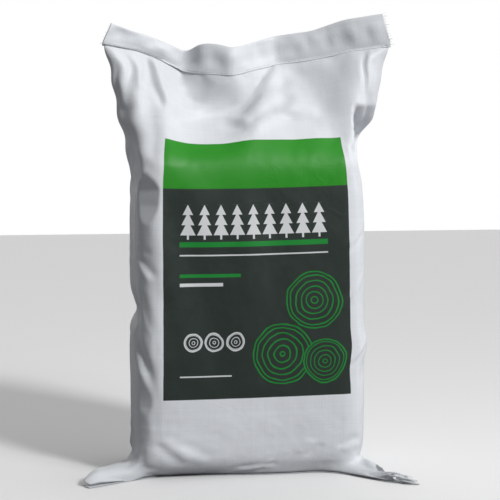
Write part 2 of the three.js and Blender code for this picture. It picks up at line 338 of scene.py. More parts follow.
# Log ends on the dark field: distance from its right edge, height above its low edge, radius, colour
LOG_ENDS = [
    (0.066, 0.172, 0.052, LINE_GREEN),
    (0.125, 0.078, 0.055, LINE_GREEN),
    (0.048, 0.062, 0.040, LINE_GREEN),
    (0.287, 0.102, 0.017, PRINT_WHITE),
    (0.249, 0.102, 0.017, PRINT_WHITE),
    (0.211, 0.102, 0.017, PRINT_WHITE),
]
RIM_WIDTH = 0.0024
RINGS_PER_RADIUS = 5.2
LEAST_RING = 0.0055
# Plain rules on the dark field: height above its low edge, thickness, length, colour
RULES = [
    (0.272, 0.009, 0.271, LINE_GREEN),
    (0.256, 0.0025, 0.271, PRINT_WHITE),
    (0.218, 0.006, 0.110, LINE_GREEN),
    (0.202, 0.006, 0.078, PRINT_WHITE),
    (0.040, 0.0025, 0.093, PRINT_WHITE),
]
FIR_COUNT = 9
FIR_PITCH = 0.0301
FIR_HEIGHT = 0.054
FIR_TIERS = 3
FIRS_BELOW_BAND = 0.082

TAPE = 0.0026
WEAVE_DEPTH = 0.00022
CRUMPLE_DEPTH = 0.0008
RIDGE_DEPTH = 0.0006

SOFT_LIGHT = 0.75
SHADE_LIGHT = 0.06
SOFT_FROM = (0.6, 0.7, 0.3)
BACKDROP = 1.0
KEY_LIGHT = 1.5
KEY_DIRECTION = (-0.56, 0.79, -0.60)
KEY_ANGLE = 0.16
LAMP_LIGHT = 15
LAMP_SIZE = 0.6
LAMP_PLACE = BODY + Vector((1.1, -1.5, 1.75))
LAMP_AIM = BODY + Vector((0, 0, 0.55))
FLOOR_HALF = 6
FLOOR_SEEN = (0.93, 0.93, 0.93, 1)
FLOOR_BOUNCE = (0.26, 0.26, 0.27, 1)
CAMERA_DISTANCE = 2.6
CAMERA_AZIMUTH = math.radians(-9)
CAMERA_HEIGHT = 0.62
CAMERA_AIM = BODY + Vector((0.0078, 0, 0.4007))
SENSOR_WIDTH = 36
LENS = 102


# Small helpers

def smoothstep(x):
    x = min(1.0, max(0.0, x))
    return x * x * (3 - 2 * x)


def rising(values, start, width):
    """0 up to start, and 1 from width beyond it."""
    return np.clip((values - start) / width, 0, 1)


def falling(values, end, width):
    """1 up to width before the end, and 0 beyond it."""
    return np.clip((end - values) / width, 0, 1)


def inside(values, low, high, soft):
    """0 outside low to high, and 1 within it but for a soft edge."""
    return np.clip(np.minimum(values - low, high - values) / soft, 0, 1)


def bell(values, middle, spread):
    return np.exp(-(((values - middle) / spread) ** 2))


def random_wave(x, y, z):
    return noise.noise(Vector((x, y, z)))


def unit(vectors):
    return vectors / np.maximum(np.linalg.norm(vectors, axis=-1, keepdims=True), 1e-9)


def walked(points):
    """How far along a run of points each one lies."""
    steps = np.linalg.norm(np.diff(points, axis=0), axis=1)
    return np.concatenate([[0], np.cumsum(steps)])


def spaced(points, count):
    """count points at even steps along a run of points, and its length."""
    p = np.array(points, float)
    so_far = walked(p)
    at = np.linspace(0, so_far[-1], count)
    return np.stack([np.interp(at, so_far, p[:, k]) for k in range(p.shape[1])], 1), so_far[-1]


def softened(points, times):
    """The points with their bends eased and their ends kept."""
    for _ in range(times):
        eased = points.copy()
        eased[1:-1] = (points[:-2] + 2 * points[1:-1] + points[2:]) / 4
        points = eased
    return points


def added(name, data):
    """A new object in the scene."""
    obj = bpy.data.objects.new(name, data)
    bpy.context.scene.collection.objects.link(obj)
    return obj


def having(thing, **settings):
    """The same thing, with its properties set."""
    for name, value in settings.items():
        setattr(thing, name, value)
    return thing


def mesh_object(name, vertices, faces, edges=(), spots=()):
    """A mesh in the scene, with its place on the flat fabric as a UV map where spots are given."""
    mesh = bpy.data.meshes.new(name)
    mesh.from_pydata(np.reshape(vertices, (-1, 3)).tolist(), edges, faces)
    if len(spots):
        mesh.uv_layers.new(name="fabric").data.foreach_set("uv", np.ravel(spots))
    return added(name, mesh)


def tube_cells(rows, columns):
    """The faces of a tube, each as the row and column of its four corners."""
    cells = []
    for j in range(rows):
        cells += [[(j, i), (j, i + 1), (j + 1, i + 1), (j + 1, i)] for i in range(columns)]
    return cells


def numbered(cells, columns):
    return [[j * columns + i % columns for j, i in cell] for cell in cells]


def flat_square(name, half):
    corners = [(-half, -half, 0), (half, -half, 0), (half, half, 0), (-half, half, 0)]
    return mesh_object(name, corners, [(0, 1, 2, 3)])


def applied(obj):
    """Swaps an object's modifiers for the mesh that they make."""
    graph = bpy.context.evaluated_depsgraph_get()
    made = bpy.data.meshes.new_from_object(obj.evaluated_get(graph), depsgraph=graph)
    made.name = obj.name
    obj.modifiers.clear()
    obj.data = made
    return obj


def shade_smooth(obj):
    obj.data.polygons.foreach_set("use_smooth", [True] * len(obj.data.polygons))


def read(data, attribute, width, kind=float):
    """One attribute of all the members of a mesh, as rows."""
    values = np.zeros(len(data) * width, kind)
    data.foreach_get(attribute, values)
    return values.reshape(-1, width) if width > 1 else values


def set_coordinates(obj, co):
    obj.data.vertices.foreach_set("co", np.ravel(co))
    obj.data.update()


# The two sewn lines

def hem_line(column, narrowing=1.0):
    rows = [(line[0] * narrowing, line[1], line[column]) for line in TOP_HEM]
    return softened(spaced(rows, HALF + 1)[0], 2)


STITCH_LINE = hem_line(2)
TOP_EDGE = hem_line(3, HEM_NARROWING)
seam_points = [(x, y, BOTTOM_SEAM_HEIGHT) for x, y in BOTTOM_HEM]
BOTTOM_LINE = softened(spaced(seam_points, HALF + 1)[0], 3)


# The pack

def rounding(y):
    """Radius of the pack's edges, larger at the back, by y from its middle."""
    back = np.clip(y / PACK_HALF[1] * 1.5 - 0.2, 0, 1)
    return FRONT_ROUNDING + (BACK_ROUNDING - FRONT_ROUNDING) * back


def off_box(points, half, radius, room):
    """How far points lie off the core of a rounded box, and the same points at room from it."""
    core = np.clip(points, radius - half, half - radius)
    away = points - core
    far = np.linalg.norm(away, axis=-1, keepdims=True)
    return far, core + away / np.maximum(far, 1e-9) * room


def pushed_out(points, margin):
    """Moves what lies inside the rounded pack, or nearer than margin, out of it."""
    q = points - PACK_MIDDLE
    radius = rounding(q[..., 1])[..., None]
    far, out = off_box(q, PACK_HALF, radius, radius + margin)
    deep = far[..., 0] < 1e-6
    nearest = np.argmin(PACK_HALF - np.abs(q), -1)
    for axis in range(3):
        here = deep & (nearest == axis)
        q[here, axis] = np.sign(q[here, axis]) * (PACK_HALF[axis] + margin)
    near = ~deep & (far[..., 0] < radius[..., 0] + margin)
    q[near] = out[near]
    return q + PACK_MIDDLE


def make_pack():
    """The pack as a collision body: two tiers with a pinch between them, and lumps on its sides."""
    mesh = bmesh.new()
    bmesh.ops.create_cube(mesh, size=2)
    bmesh.ops.subdivide_edges(mesh, edges=mesh.edges, cuts=PACK_CUTS, use_grid_fill=True)
    for vertex in mesh.verts:
        p = np.array(vertex.co) * PACK_HALF
        radius = float(rounding(p[1]))
        _, p = off_box(p, PACK_HALF, radius, radius)
        pinch = TIER_PINCH * math.exp(-((p[2] / PACK_HALF[2] / PINCH_SPREAD) ** 2))
        taper = SHOULDER_TAPER * smoothstep(p[2] / PACK_HALF[2])
        lump = (0.5 + noise.noise(Vector(p) * LUMPS_PER_METRE + Vector((3.1, 1.7, 5.2)))) * LUMPS
        outer = np.abs(p) / PACK_HALF > 0.9
        outer[2] = False
        p = p * (1 - np.array([pinch + taper, pinch, 0])) + np.sign(p) * outer * lump
        vertex.co = Vector(p)
    pack_mesh = bpy.data.meshes.new("pack")
    mesh.to_mesh(pack_mesh)
    mesh.free()
    pack = added("pack", pack_mesh)
    pack.location = PACK_MIDDLE
    for at, size in PACK_GROWTH:
        pack.scale = (size, size, 1)
        pack.keyframe_insert("scale", frame=at)
    return collider(pack, *PACK_CONTACT)


def collider(obj, thickness, friction):
    obj.modifiers.new("collision", "COLLISION")
    obj.collision.thickness_outer = thickness
    obj.collision.cloth_friction = friction
    return obj


# The wrapped tube, and the lengths that it keeps

def outline(offset):
    """Half of an outline round the pack: from the left side's middle by way of the front."""
    a, b = PACK_HALF[0] + offset, PACK_HALF[1] + offset
    r = FRONT_ROUNDING + offset
    left = [(-a, 0), (-a, -(b - r))]
    for turn in np.linspace(0, math.pi / 2, CORNER_STEPS)[1:]:
        left.append((-a + r - r * math.cos(turn), -(b - r) - r * math.sin(turn)))
    return spaced(left + [(-x, y) for x, y in reversed(left)], HALF + 1)


def fold(i):
    """The column of the flattened tube that column i lies in."""
    return i if i <= HALF else COLUMNS - i


def ring(half_outline, z):
    rows = []
    for i in range(COLUMNS):
        x, y = half_outline[fold(i)]
        rows.append([x, y if i <= HALF else -y, z])
    return np.array(rows)


def cap_path(i, low_ring):
    """From the bottom seam under the pack and up to the first full ring."""
    x, y, _ = low_ring[i]
    seam = BOTTOM_LINE[fold(i)]
    rim = [x, y, CAP_HEIGHT]
    if abs(2 * fold(i) / HALF - 1) > EAR_SHARE:
        root = low_ring[i] * EAR_ROOT
        path = []
        for way, height in zip(EAR_STEPS, LEFT_EAR if x < 0 else RIGHT_EAR):
            path.append(root * (1 - way) + seam * way)
            path[-1][2] = height
        return [seam, *reversed(path), rim]
    share, more, height = FRONT_TOE if i <= HALF else BACK_TOE
    return [seam, [x * share, y + more, height], [x, y, CAP_KNEE], rim]


def tube_path(i, low_ring):
    """From the first full ring up over the shoulder to the stitched line."""
    x, y, _ = low_ring[i]
    front = i <= HALF
    share = abs(2 * fold(i) / HALF - 1)
    top = PACK_TOP - SHOULDER * (FRONT_ROUNDING if front else BACK_ROUNDING)
    end = STITCH_LINE[fold(i)]
    points = [low_ring[i], [x, y, top]]
    tuck = smoothstep((share - TUCK_START) / TUCK_WIDTH)
    middle = np.array([x, y, top]) * (1 - TUCK_HEIGHT) + end * TUCK_HEIGHT
    if tuck > 0:
        inward = -LEFT_TUCK if x < 0 else RIGHT_TUCK
        points.append(middle - [inward * tuck, 0, 0])
    elif front:
        points.append(middle + [0, -BELLY * (1 - share), BELLY_RISE])
    return points + [end]


def beside(grid):
    """The sum of each point's two neighbours round the tube, without the sewn rows."""
    return np.roll(grid, 1, 1)[1:-1] + np.roll(grid, -1, 1)[1:-1]


def evened(grid, times):
    """Evens out the tube round and up, with its two sewn rows kept."""
    for _ in range(times):
        eased = grid.copy()
        eased[1:-1] = (grid[:-2] + grid[2:] + beside(grid) + 2 * grid[1:-1]) / 6
        grid = eased
    return grid


def wrapped_tube():
    """The fabric as it is laid round the pack, and the shape that gives its real lengths."""
    low_ring = ring(outline(START_GAP)[0], CAP_HEIGHT)
    cap = np.zeros((CAP_ROWS + 1, COLUMNS, 3))
    tube = np.zeros((TUBE_ROWS + 1, COLUMNS, 3))
    for i in range(COLUMNS):
        cap[:, i] = spaced(cap_path(i, low_ring), CAP_ROWS + 1)[0]
        tube[:, i] = spaced(tube_path(i, low_ring), TUBE_ROWS + 1)[0]
    start = evened(np.concatenate([cap[:-1], tube]), EVENING_PASSES)
    start[1:-1] = pushed_out(start[1:-1], FABRIC_GAP)
    start[1:-1, :, 2] = np.maximum(start[1:-1, :, 2], LEAST_START)

    kept = start.copy()
    slack = (FLAT_WIDTH - outline(0)[1]) / math.pi
    full_ring = ring(outline(slack)[0], 0)
    for j in range(CAP_ROWS + 1):
        share = (j / CAP_ROWS) ** 2
        kept[j, :, :2] += (full_ring[:, :2] - start[j, :, :2]) * share
        kept[j, :, 2] += (CAP_HEIGHT - start[CAP_ROWS, :, 2]) * share
    for j in range(CAP_ROWS + 1, ROWS + 1):
        kept[j, :, :2] = full_ring[:, :2]
        kept[j, :, 2] = CAP_HEIGHT + (j - CAP_ROWS) * TUBE_LENGTH / TUBE_ROWS
    uneven = np.random.default_rng(4).random((ROWS - 1, COLUMNS, 3)) - 0.5
    start[1:-1] += uneven * UNEVENNESS
    return start, kept


CLOTH_FRAMES = 26
CLOTH_DISTANCE = 0.003
CLOTH_SETTINGS = {
    "quality": 6,
    "mass": 0.02,
    "tension_stiffness": 60,
    "compression_stiffness": 60,
    "shear_stiffness": 30,
    "bending_stiffness": 8,
    "tension_damping": 10,
    "compression_damping": 10,
    "shear_damping": 5,
    "bending_damping": 1,
    "air_damping": 3,
    "vertex_group_mass": "sewn",
    "pin_stiffness": 5,
    "use_pressure": True,
    "uniform_pressure_force": 0.4,
}


def simulated(start, kept):
    """Lets the wrapped fabric settle on the pack with its real lengths."""
    sheet = mesh_object("cloth", start, numbered(tube_cells(ROWS, COLUMNS), COLUMNS))
    sheet.shape_key_add(name="Basis")
    lengths = sheet.shape_key_add(name="kept_lengths")
    lengths.data.foreach_set("co", kept.ravel())
    lengths.value = 0
    sewn = sheet.vertex_groups.new(name="sewn")
    sewn.add([*range(COLUMNS), *range(ROWS * COLUMNS, (ROWS + 1) * COLUMNS)], 1.0, "REPLACE")
    # changes no vertex, but the kept lengths reach the cloth only behind such a modifier
    sheet.modifiers.new("pass_on", "VERTEX_WEIGHT_EDIT").vertex_group = "sewn"
    cloth = sheet.modifiers.new("cloth", "CLOTH")
    having(cloth.settings, **CLOTH_SETTINGS)
    cloth.settings.rest_shape_key = sheet.data.shape_keys.key_blocks["kept_lengths"]
    having(cloth.collision_settings, distance_min=CLOTH_DISTANCE, use_self_collision=False)
    having(cloth.point_cache, frame_start=1, frame_end=CLOTH_FRAMES)
    floor = flat_square("cloth_floor", 1)
    floor.location.z = CLOTH_FLOOR
    bodies = [make_pack(), collider(floor, *FLOOR_CONTACT)]
    for at in range(1, CLOTH_FRAMES + 1):
        bpy.context.scene.frame_set(at)
    graph = bpy.context.evaluated_depsgraph_get()
    settled = read(sheet.evaluated_get(graph).data.vertices, "co", 3)
    for obj in [sheet, *bodies]:
        bpy.data.objects.remove(obj)
    bpy.context.scene.frame_set(1)
    return settled.reshape(ROWS + 1, COLUMNS, 3)


def calmed(grid, across, up, strength, passes):
    """Eases the folds of a stretch of fabric that lies flat on the logs, or hangs straight."""
    columns = np.arange(COLUMNS) / COLUMNS * 2 * FLAT_WIDTH
    heights = np.array([fabric_height(j) for j in range(ROWS + 1)])
    across = inside(columns, *across, 0.05)
    up = inside(heights, *up, 0.04)
    share = (up[:, None] * across[None, :])[1:-1, :, None] * strength
    for _ in range(passes):
        eased = (grid[:-2] + grid[2:] + beside(grid)) / 4
        grid[1:-1] = grid[1:-1] * (1 - share) + eased * share
    return grid


def front_before_back(grid):
    """Keeps the two layers from crossing where they run together at the mouth."""
    for j in range(ROWS - MOUTH_ROWS, ROWS):
        room = LAYER_GAP * min(ROWS - j, 4)
        for i in range(2, HALF - 1):
            front, back = grid[j, i], grid[j, COLUMNS - i]
            push = max(0, room - (back[1] - front[1])) / 2
            front[1] -= push
            back[1] += push
    return grid


def clear_of_logs(grid):
    """Keeps the fabric off the logs themselves."""
    middle = np.array([0, 0, LOGS_LOW[2] + LOGS_HALF[2]])
    q = grid[1:-1] - middle
    room = LOG_EDGE + LOG_GAP
    far, out = off_box(q, LOGS_HALF, LOG_EDGE, room)
    grid[1:-1] = np.where((far < room) & (far > 1e-6), out, q) + middle
    return grid


def over_the_bottom_hem(grid):
    """Keeps the fabric above the floor, and above the hem strip that lies under it."""
    grid[..., 2] = np.maximum(grid[..., 2], FLOOR_GAP)
    for p in np.argwhere(grid[1:, :, 2] < 0.02):
        j, i = p[0] + 1, p[1]
        away = BOTTOM_LINE[:, :2] - grid[j, i, :2]
        if np.min(np.hypot(away[:, 0], away[:, 1])) < BOTTOM_HEM_WIDTH + 0.003:
            grid[j, i, 2] = max(grid[j, i, 2], BOTTOM_SEAM_HEIGHT + 0.0008)
    return grid


def fabric_height(j):
    """Length of fabric from the bottom seam up to row j."""
    if j <= CAP_ROWS:
        return CAP_LENGTH * j / CAP_ROWS
    return CAP_LENGTH + TUBE_LENGTH * (j - CAP_ROWS) / TUBE_ROWS


def make_sack():
    start, kept = wrapped_tube()
    grid = simulated(start, kept)
    for stretch in CALM:
        grid = calmed(grid, *stretch)
    grid = over_the_bottom_hem(clear_of_logs(front_before_back(grid)))

    def number(j, i):
        i %= COLUMNS
        sewn = j in (0, ROWS)
        return j * COLUMNS + (COLUMNS - i if sewn and i > HALF else i)

    faces, spots = [], []
    for cell in tube_cells(ROWS, COLUMNS):
        numbers = [number(j, i) for j, i in cell]
        # faces at the ends of the sewn rows lose the corner that is there twice
        keep = [k for k in range(4) if numbers[k] != numbers[k - 1]]
        if len(keep) > 2:
            faces.append([numbers[k] for k in keep])
            for j, i in [cell[k] for k in keep]:
                spots.append((i / COLUMNS * 2 * FLAT_WIDTH, fabric_height(j)))
    sack = mesh_object("sack", grid, faces, spots=spots)
    bm = bmesh.new()
    bm.from_mesh(sack.data)
    bmesh.ops.delete(bm, geom=[v for v in bm.verts if not v.link_faces], context="VERTS")
    bm.to_mesh(sack.data)
    bm.free()
    having(sack.modifiers.new("smooth", "SUBSURF"), levels=1, render_levels=1)
    applied(sack)
    crease(sack)
    shade_smooth(sack)
    return sack, grid


# The fabric's folds, outline and ears

def fabric_places(obj):
    """Where each vertex lies on the flat fabric."""
    places = np.zeros((len(obj.data.vertices), 2))
    which = read(obj.data.loops, "vertex_index", 1, int)
    places[which] = read(obj.data.uv_layers["fabric"].data, "uv", 2)
    return places


def folds(places):
    rise = np.zeros(len(places))
    for *ends, width, height in FOLDS:
        a, b = np.reshape(ends, (2, 2))
        length = np.linalg.norm(b - a)
        along = (b - a) / length
        way = (places - a) @ along / length
        off = ((places - a) @ np.array([-along[1], along[0]])) / width
        fade = np.clip(np.minimum(way, 1 - way) * 4 + 0.15, 0, 1)
        rise += height * off * np.exp(0.5 - 0.5 * off**2) * fade * fade * (3 - 2 * fade)
    return rise


def flat_edge_ridges(u, v):
    rise = np.zeros(len(u))
    sway = sum(reach * np.sin(v * waves + start) for waves, start, reach in FLAT_EDGE_SWAY)
    for middle, low, high in FLAT_EDGES:
        rise += FLAT_EDGE_RISE * bell(u - sway, middle, FLAT_EDGE_WIDTH) * inside(v, low, high, 0.03)
    return rise


def crumple(places):
    rise = []
    for u, v in places:
        broad = random_wave(u * 22, v * 22, 1.3)
        fine = 1 - 2 * abs(random_wave(u * 55, v * 38, 6.4))
        patch = 0.5 + 0.5 * random_wave(u * 7, v * 7, 9.9)
        rise.append(BROAD_CRUMPLE * broad + FINE_CRUMPLE * fine * patch)
    return np.array(rise)


def right_ear_pleats(u, v):
    ear = rising(u, 0.50, 0.04) * falling(u, 0.70, 0.04) * falling(v, 0.075, 0.03)
    return ear * RIGHT_EAR_PLEATS * np.cos(2 * math.pi * v / PLEAT_PITCH)


def crease(sack):
    """Presses the folds of handling into the fabric, crumples it finely, and sets its outline."""
    co = read(sack.data.vertices, "co", 3)
    normals = read(sack.data.vertices, "normal", 3)
    places = fabric_places(sack)
    u, v = places.T
    rise = folds(places) + flat_edge_ridges(u, v) + crumple(places) + right_ear_pleats(u, v)
    free = inside(v, 0, fabric_height(ROWS), 0.012)
    co += normals * (rise * free)[:, None]
    # the columns of co itself, which these change in place
    x, y, z = co.T
    wave_the_sides(x, y, z)
    hollow_under_the_right_ear(x, y, z)
    fill_the_bottom_ears(x, z)
    square_the_left_front(x, y, z)
    dent_the_left_front(x, y, z)
    np.maximum(z, FLOOR_GAP, out=z)
    set_coordinates(sack, co)


def wave_the_sides(x, y, z):
    for side, height, spread, wider, front, back in SIDE_WAVES:
        near = rising(x * side, 0.14, 0.06)
        near *= rising(y, front, 0.04) * falling(y, back, 0.06)
        x += side * near * near * (3 - 2 * near) * (wider * bell(z, height, spread))


def hollow_under_the_right_ear(x, y, z):
    below = falling(z, LIP_HEIGHT, 0.050) * rising(z, HOLLOW_LOW, 0.040)
    fade = np.clip(1 - (x - HOLLOW_SIDE - 0.008) * 12, 0.4, 1)
    outer = rising(x, HOLLOW_SIDE, 0.008) * fade
    y += UNDER_LIP * below * outer * falling(y, 0.06, 0.09)


def fill_the_bottom_ears(x, z):
    above = rising(z, 0.003, 0.006) * falling(z, 0.06, 0.02)
    x -= np.maximum(LEFT_EAR_ROOT - x, 0) * LEFT_EAR_STRETCH * above
    for place, spread, higher in EAR_FULLNESS:
        z += higher * bell(x, place, spread) * above


def square_the_left_front(x, y, z):
    """The front goes on forwards to its left edge, where the dents cut it off."""
    edge = falling(x, -0.060, 0.110) ** 2 * falling(y, -0.02, 0.06)
    y -= EDGE_FORWARD * edge * (rising(z, 0.10, 0.12) * falling(z, 0.64, 0.08))


def dent_the_left_front(x, y, z):
    """The left front edge is dented flat between the ends of the logs, more at some heights."""
    heights, legs = np.array(DENTS).T
    uneven = np.array([random_wave(height * 30, 2.0, 5.0) for height in z])
    leg = np.interp(z, heights, legs) + DENT_UNEVENNESS * uneven
    corner = CORNER_REACH - leg / math.sqrt(2)
    too_far = (-x - y) / math.sqrt(2) - corner
    dented = (z > heights[0]) & (z < heights[-1]) & (y < 0)
    cut = np.where(dented, np.maximum(too_far, 0), 0) / math.sqrt(2)
    x += cut
    y += cut


# Hems

def loft(name, rings):
    """A closed skin over rings of the same count, with a UV map in metres."""
    rings = np.array(rings)
    stations, count = rings.shape[:2]
    along = walked(rings.mean(1))
    around = walked(np.append(rings[0], rings[:1, 0], 0))
    cells = tube_cells(stations - 1, count)
    ends = [tuple(range(count - 1, -1, -1)), tuple(range((stations - 1) * count, stations * count))]
    spots = [(along[s], around[k]) for cell in cells for s, k in cell] + [(0.0, 0.0)] * (2 * count)
    obj = mesh_object(name, rings, numbered(cells, count) + ends, spots=spots)
    bm = bmesh.new()
    bm.from_mesh(obj.data)
    bmesh.ops.recalc_face_normals(bm, faces=bm.faces)
    bm.to_mesh(obj.data)
    bm.free()
    shade_smooth(obj)
    return obj


def resampled(*lines):
    """Lines of HALF + 1 points, brought to the hems' stations by column."""
    at = np.linspace(0, HALF, HEM_STATIONS)
    whole = np.arange(HALF + 1)
    return [np.stack([np.interp(at, whole, line[:, k]) for k in range(3)], 1) for line in lines]


def hem_frame(grid):
    """Everything that the folded mouth needs at each of its stations."""
    front = grid[ROWS - 2, : HALF + 1]
    back = np.array([grid[ROWS - 2, (COLUMNS - i) % COLUMNS] for i in range(HALF + 1)])
    stitch, top, front, back = resampled(STITCH_LINE, TOP_EDGE, front, back)
    along = unit(np.gradient(stitch, axis=0))
    up = unit(top - stitch)
    out = unit(np.cross(along, up))
    out *= -np.sign(np.mean(out[:, 1]))
    layers = []
    for layer, side in ((front, 1), (back, -1)):
        down = unit(layer - stitch)
        off = unit(np.cross(down, along))
        layers += [down, off * np.sign(np.sum(off * out, -1, keepdims=True)) * side]
    return stitch, top, up, out, *layers


def flap_lift(share):
    """How far the flap's lower edge stands off the sack along the hem."""
    loose = 0.5 + 0.5 * random_wave(share * 9, 4.2, 0.7)
    return LIFT * math.exp(-(((share - LIFT_AT) / LIFT_SPREAD) ** 2)) + LOOSENESS * loose


def make_top_hem(grid):
    """The folded-over mouth: a flap in front that hangs below the stitches, and its fold on top."""
    stitch, top, up, out, down_front, out_front, down_back, out_back = hem_frame(grid)
    so_far = walked(stitch)
    rings = []
    for s in range(HEM_STATIONS):
        share = s / (HEM_STATIONS - 1)
        height = np.linalg.norm(top[s] - stitch[s]) + 0.0012 * random_wave(share * 14, 1.5, 2.5)
        pucker = 0.5 + 0.5 * math.cos(2 * math.pi * so_far[s] / STITCH_PITCH)
        loose = 0.25 + 0.75 * smoothstep((share - 0.17) / 0.07)
        lift = flap_lift(share) * loose
        below = (FLAP_BELOW + 0.0012 * random_wave(share * 11, 7.7, 3.1)) * loose

        def flap(down, off):
            return stitch[s] + down_front[s] * down + out_front[s] * off

        def fold_above(t, off):
            ease = math.sin(math.pi * min(t / height, 1))
            wave = sum(depth * random_wave(share * a, t * b, c) for depth, a, b, c in HEM_WAVES)
            return stitch[s] + up[s] * t + out[s] * (off + wave * ease * HEM_WAVING)

        pinch = 0.0008 + 0.0005 * (1 - pucker)
        rings.append(
            [
                flap(below, 0.0012 * loose + lift),
                flap(below * 0.6, 0.0013 * loose + lift * 0.55),
                flap(below * 0.3, 0.0012 * loose + 0.0003 * pucker),
                fold_above(0, pinch),
                fold_above(0.003, 0.0015 + 0.0003 * pucker),
                *[fold_above(height * part + more, off) for part, more, off in HEM_SECTION],
                fold_above(0, -pinch),
                stitch[s] + down_back[s] * 0.004 + out_back[s] * 0.0009,
                stitch[s] + down_back[s] * 0.0044 + out_back[s] * 0.0001,
                fold_above(0, 0),
                flap(below * 0.5, 0.0005 + lift * 0.4),
                flap(below, 0.0006 + lift),
            ]
        )
    rings = np.array(rings)
    front_line = rings[:, 3] + out * 0.0003
    back_line = rings[:, 4 + len(HEM_SECTION) + 1] - out * 0.0003
    middle = rings.mean(1)
    outward = middle[0] - middle[2], middle[-1] - middle[-3]
    ends = rings[0, [3, 8, 12]], rings[-1, [3, 8, 12]]
    return loft("top_hem_fold", rings), front_line[3:-3], back_line[3:-3], ends, outward


def make_bottom_hem():
    """The folded strip along the bottom seam, on the floor, with its tucked ends in the ears."""
    line, = resampled(BOTTOM_LINE)
    along = unit(np.gradient(line, axis=0))
    forward = np.stack([along[:, 1], -along[:, 0], np.zeros(len(along))], 1)
    forward *= np.sign(forward[:, 1:2])
    thick = BOTTOM_HEM_THICKNESS
    line[:, 2] = 0

    def beside_seam(s, w, z):
        return line[s] + forward[s] * w + np.array([0, 0, z])

    rings = []
    for s in range(HEM_STATIONS):
        share = s / (HEM_STATIONS - 1)
        width = BOTTOM_HEM_WIDTH + 0.0012 * random_wave(share * 12, 0.3, 8.8)
        rise = 0.0025 * smoothstep((0.1 - min(share, 1 - share)) / 0.1)
        rise *= 0.5 + 0.5 * random_wave(share * 60, 3, 1)
        section = [
            (0.001, 0.0004),
            (0.0007, 0.0009),
            (0.001, thick - 0.0003),
            (0.004, thick - 0.0002),
            (0.010, thick),
            (width - 0.002, thick - 0.0001),
            (width, thick * 0.55),
            (width - 0.001, 0.0001),
            (0.010, 0),
        ]
        rings.append([beside_seam(s, w, 0.0003 + z + rise * (w / width)) for w, z in section])
    seam = [beside_seam(s, 0.011, thick + 0.0005) for s in range(HEM_STATIONS)]
    edge = (0.001, BOTTOM_HEM_WIDTH - 0.001)
    ends = [[beside_seam(s, w, thick * 0.7) for w in edge] for s in (0, -1)]
    return loft("bottom_hem_fold", rings), seam, ends, (-along[0], along[-1])


# Nodes

def make(tree, kind, inputs=None, **settings):
    """Adds a node, sets its properties, and links or sets its inputs."""
    node = having(tree.nodes.new(kind), **settings)
    for key, value in (inputs or {}).items():
        if isinstance(value, bpy.types.NodeSocket):
            tree.links.new(value, node.inputs[key])
        else:
            node.inputs[key].default_value = value
    return node


def tree_of(*values):
    return next(value.id_data for value in values if isinstance(value, bpy.types.NodeSocket))


def calc(operation, *values):
    """A sum of values and sockets, in the tree of the sockets."""
    inputs = dict(enumerate(values))
    return make(tree_of(*values), "ShaderNodeMath", inputs, operation=operation).outputs[0]


def plus(a, b):
    return calc("ADD", a, b)


def minus(a, b):
    return calc("SUBTRACT", a, b)


def times(a, b):
    return calc("MULTIPLY", a, b)


def divided(a, b):
    return calc("DIVIDE", a, b)


def scaled(a, factor, more):
    return calc("MULTIPLY_ADD", a, factor, more)


def part(a):
    return calc("FRACT", a)


def under(a, limit):
    return calc("LESS_THAN", a, limit)


def ramp(value, low, high, start=0.0, end=1.0, kind="LINEAR"):
    """Goes from start to end while the value goes from low to high."""
    inputs = {"Value": value, "From Min": low, "From Max": high, "To Min": start, "To Max": end}
    return make(value.id_data, "ShaderNodeMapRange", inputs, interpolation_type=kind).outputs[0]


def between(value, low, high, soft=0.0006):
    """1 from low to high and 0 outside, with a soft edge."""
    rise = ramp(value, low - soft, low + soft, kind="SMOOTHSTEP")
    return times(rise, ramp(value, high - soft, high + soft, 1.0, 0.0, "SMOOTHSTEP"))


def blend_colour(factor, a, b, mode="MIX"):
    inputs = {0: factor, 6: a, 7: b}
    tree = tree_of(factor, a, b)
    return make(tree, "ShaderNodeMix", inputs, data_type="RGBA", blend_type=mode).outputs[2]


def blend_value(factor, a, b):
    inputs = {0: factor, 2: a, 3: b}
    return make(factor.id_data, "ShaderNodeMix", inputs, data_type="FLOAT").outputs[0]


def xyz(tree, x=0.0, y=0.0, z=0.0):
    return make(tree, "ShaderNodeCombineXYZ", {"X": x, "Y": y, "Z": z}).outputs[0]


def cloudy(where, scale, detail=3.0, distortion=0.0):
    inputs = {"Vector": where, "Scale": scale, "Detail": detail, "Distortion": distortion}
    return make(where.id_data, "ShaderNodeTexNoise", inputs).outputs[0]


def bump(height, distance, strength, under_it=None):
    inputs = {"Height": height, "Distance": distance, "Strength": strength}
    if under_it:
        inputs["Normal"] = under_it
    return make(height.id_data, "ShaderNodeBump", inputs).outputs[0]


# Stitches and frayed ends, by Geometry Nodes

def points_along(name, sizes, vectors=()):
    """A tree with named inputs, and points along the line that it is given, one for each pitch."""
    tree = bpy.data.node_groups.new(name, "GeometryNodeTree")
    sockets = [("Geometry", "Geometry", "INPUT")]
    sockets += [(label, "Float", "INPUT") for label in ("Pitch", *sizes)]
    sockets += [(label, "Vector", "INPUT") for label in vectors]
    for label, kind, way in [*sockets, ("Geometry", "Geometry", "OUTPUT")]:
        tree.interface.new_socket(label, in_out=way, socket_type=f"NodeSocket{kind}")
    given = make(tree, "NodeGroupInput").outputs
    line = make(tree, "GeometryNodeMeshToCurve", {"Mesh": given["Geometry"]}).outputs[0]
    steps = {"Curve": line, "Length": given["Pitch"]}
    return tree, given, make(tree, "GeometryNodeCurveToPoints", steps, mode="LENGTH").outputs


def strand(tree, path, section):
    inputs = {"Curve": path, "Profile Curve": section, "Fill Caps": True}
    return make(tree, "GeometryNodeCurveToMesh", inputs).outputs[0]


